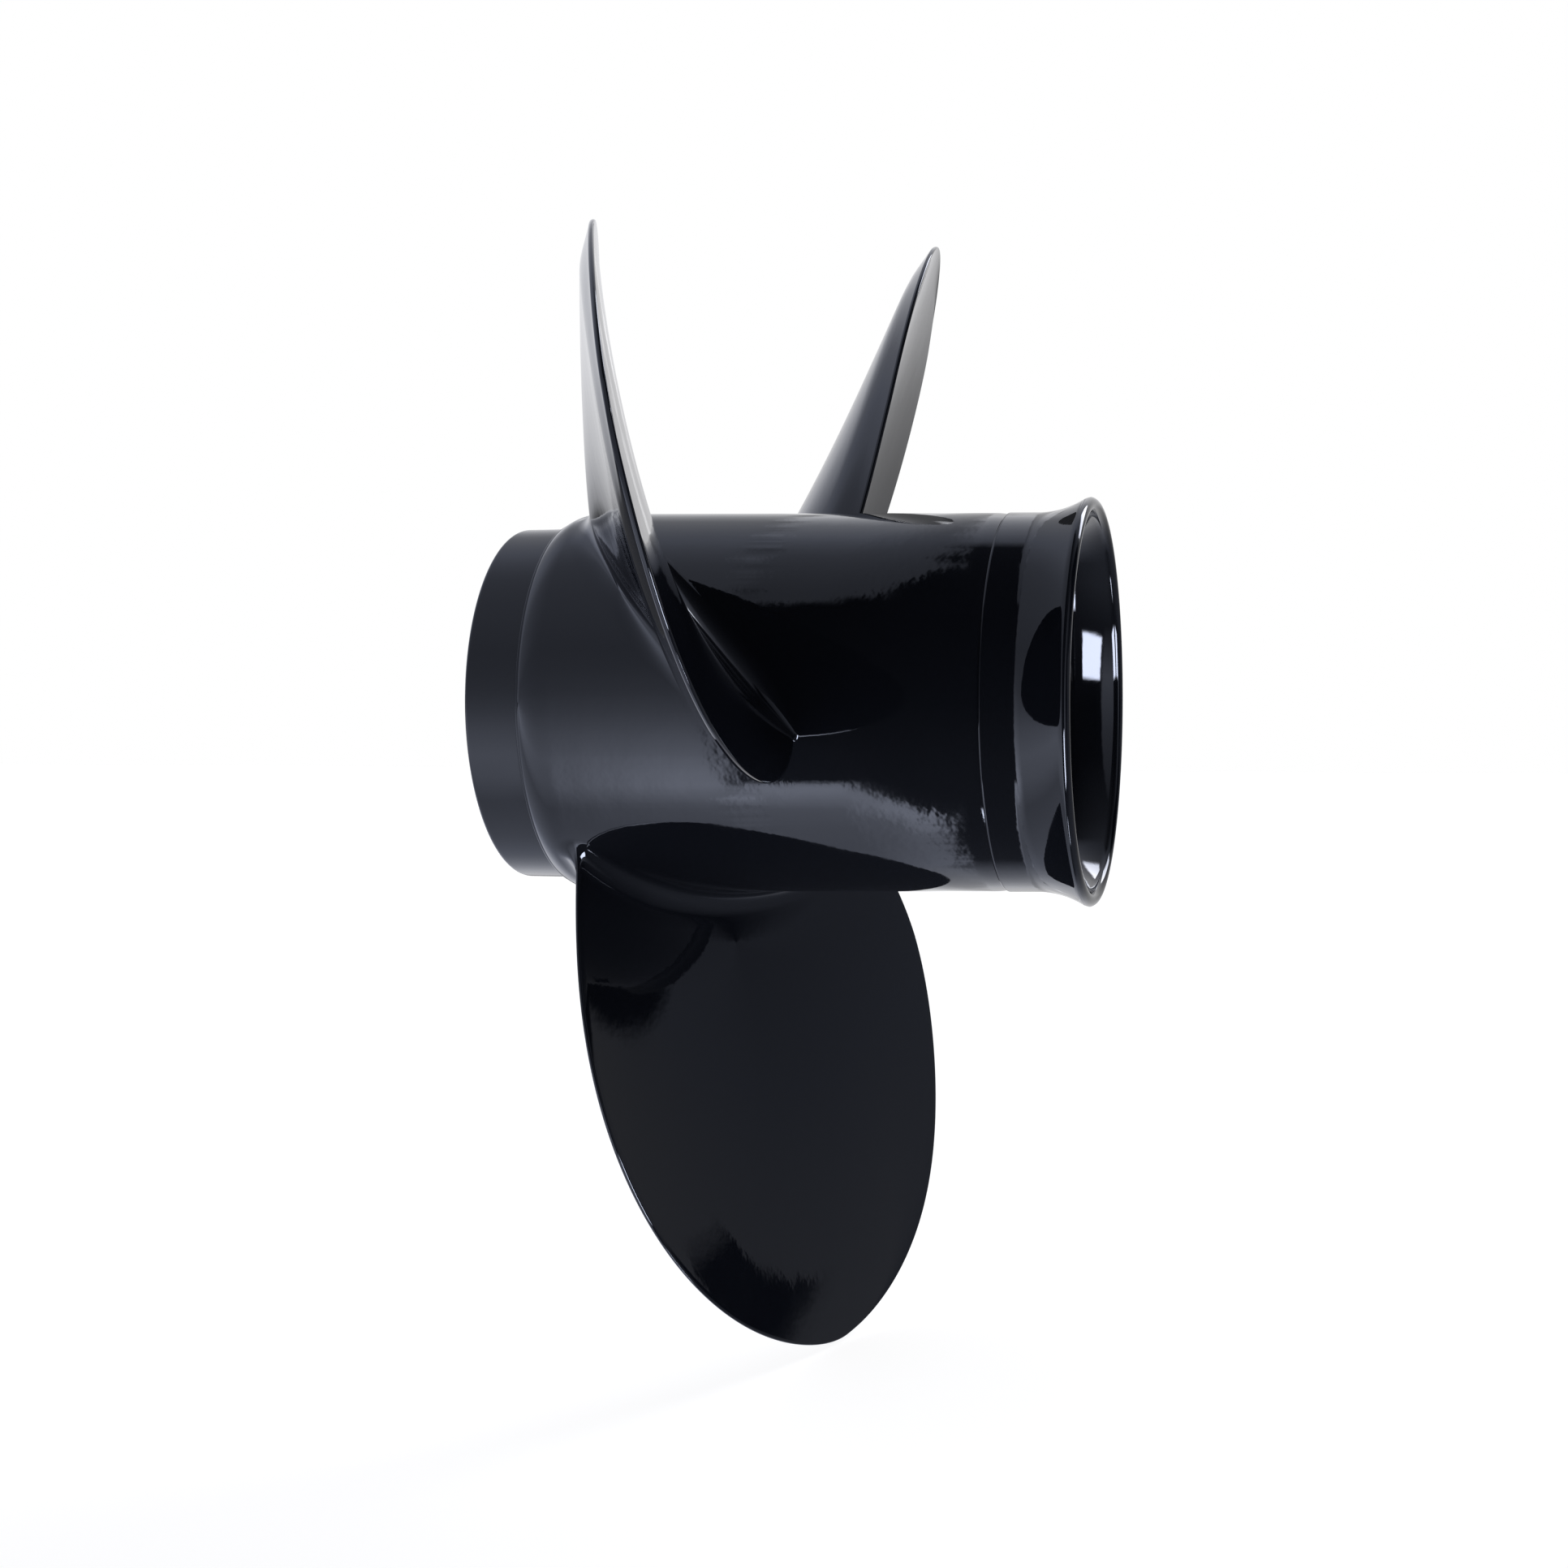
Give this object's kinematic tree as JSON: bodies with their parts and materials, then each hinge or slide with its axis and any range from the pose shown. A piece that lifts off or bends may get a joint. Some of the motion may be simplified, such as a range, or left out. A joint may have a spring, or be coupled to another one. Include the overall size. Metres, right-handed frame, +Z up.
{
  "type": "outboard motor propeller",
  "caption": "Outboard-motor propeller: broad skewed blades on a hollow exhaust barrel with a flared aft lip, and a rubber-bushed splined hub carried on webs.",
  "frame": {"origin": "on the shaft axis, in the plane of the splined sleeve's thrust face and of the forward collar's rim", "axes": "-X forward along the shaft to the gearcase, +X aft, +Z up as pictured; angles round the shaft count from +Z towards -Y"},
  "size_m": [0.1294, 0.2688, 0.2609],
  "materials": {
    "gloss_black_paint": "gloss",
    "satin_black_paint": "satin",
    "bush_rubber": "matte",
    "sleeve_brass": "satin"
  },
  "bodies": {
    "root": {"register_collar": "satin_black_paint", "outer_barrel": "gloss_black_paint", "exhaust_flare": "gloss_black_paint", "inner_hub": "gloss_black_paint", "web_1": "gloss_black_paint", "web_2": "gloss_black_paint", "web_3": "gloss_black_paint", "blade_1": "gloss_black_paint", "blade_2": "gloss_black_paint", "blade_3": "gloss_black_paint", "rubber_bush": "bush_rubber", "splined_sleeve": "sleeve_brass"}
  },
  "joints": []
}
